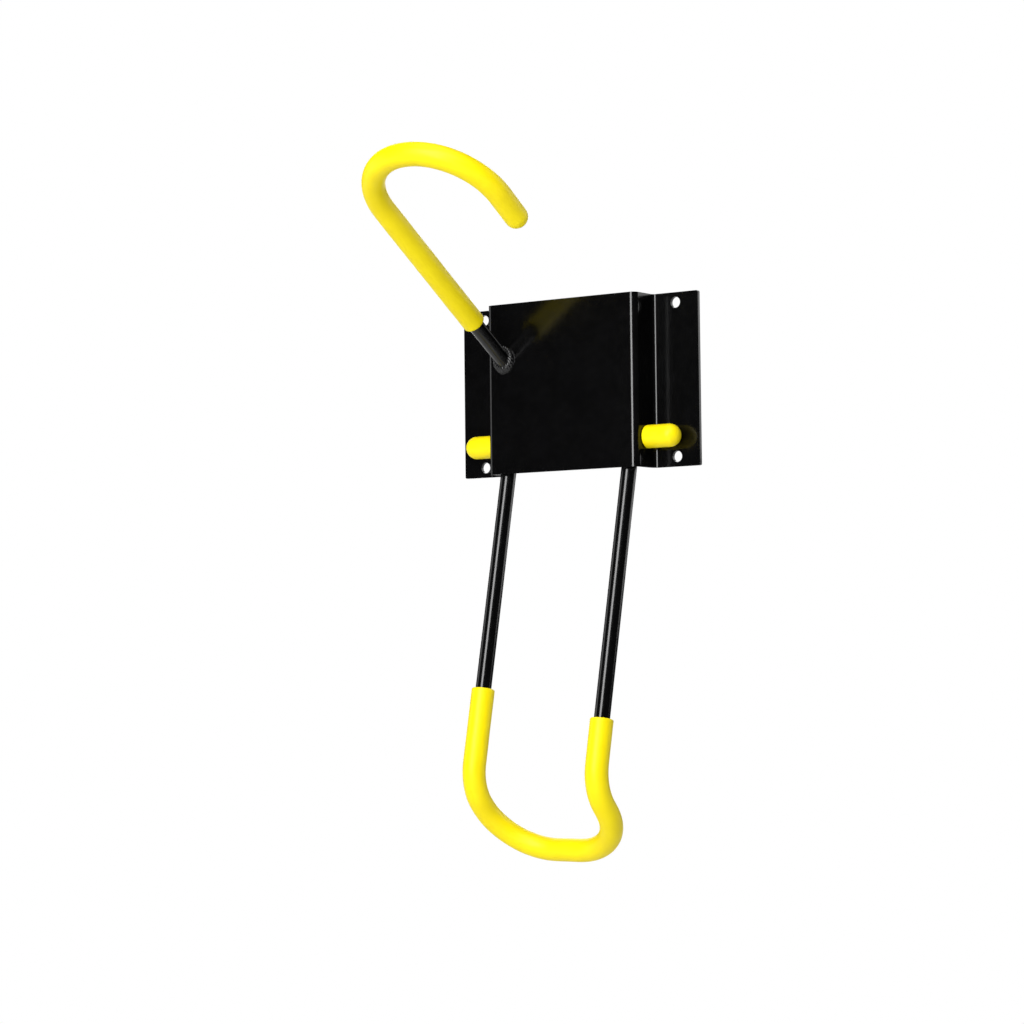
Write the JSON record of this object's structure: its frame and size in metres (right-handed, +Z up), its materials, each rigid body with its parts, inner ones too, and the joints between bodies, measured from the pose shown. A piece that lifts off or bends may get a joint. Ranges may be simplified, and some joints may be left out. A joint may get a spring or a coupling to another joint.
{
  "type": "bicycle wall rack",
  "caption": "Wall rack for one bicycle: a folded steel bracket with an upswept sleeved hook for the wheel rim and a hinged wire loop that straddles the tyre.",
  "frame": {"origin": "centre of the four mounting holes, on the back of the bracket, which is the wall's surface", "axes": "+X right along the wall as one faces it, +Y into the wall, +Z up; the rack lies at Y below 0"},
  "size_m": [0.158, 0.1639, 0.3768],
  "materials": {
    "black_paint": "glossy black powder coat",
    "yellow_vinyl": "smooth satin vinyl"
  },
  "bodies": {
    "bracket": {"wall_bracket": "black_paint", "hook_rod": "black_paint", "hook_sleeve": "yellow_vinyl", "hook_weld_front": "black_paint", "hook_weld_tail_left": "black_paint", "hook_weld_tail_right": "black_paint"},
    "wheel_loop": {"loop_rod": "black_paint", "loop_sleeve": "yellow_vinyl", "pivot_cap_left": "yellow_vinyl", "pivot_cap_right": "yellow_vinyl"}
  },
  "joints": [
    {"name": "loop_pivot", "type": "hinge", "parent": "bracket", "child": "wheel_loop", "pos_m": [0, -0.0096, -0.031], "axis": [1, 0, 0], "range_deg": [0, 2.7]}
  ]
}
